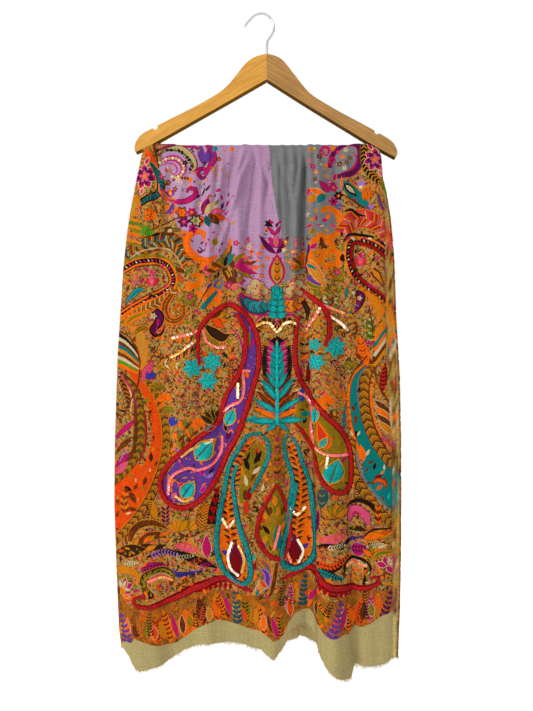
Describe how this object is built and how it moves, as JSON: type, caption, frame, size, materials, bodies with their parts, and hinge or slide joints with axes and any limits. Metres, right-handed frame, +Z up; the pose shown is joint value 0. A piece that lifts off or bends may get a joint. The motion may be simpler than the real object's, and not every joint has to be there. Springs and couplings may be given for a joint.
{
  "type": "shawl on a clothes hanger",
  "caption": "Long printed and embroidered shawl folded over the round bar of a wooden clothes hanger, both falls hanging straight, with raw frayed ends and a bent wire hook on top.",
  "frame": {"origin": "inner top of the hook, where it sits on a rail", "axes": "+Z up, the front fall faces -Y, +X to the right as seen from the front"},
  "size_m": [0.4859, 0.0884, 1.1371],
  "materials": {
    "printed_cloth": "fine woven wool-like cloth with an all-over print in orange, red, magenta, teal, lilac and khaki, and chain-stitch embroidery",
    "frayed_yarn": "loose raw yarn ends, khaki",
    "honey_wood": "clear satin varnish",
    "tan_wood": "clear satin varnish, browner board",
    "plated_wire": "bright nickel plate"
  },
  "bodies": {
    "root": {"shawl_front": "printed_cloth", "shawl_back": "printed_cloth", "fringe_front": "frayed_yarn", "fringe_back": "frayed_yarn", "hanger_arm_left": "honey_wood", "hanger_arm_right": "tan_wood", "hanger_bar": "honey_wood", "hook": "plated_wire"}
  },
  "joints": []
}
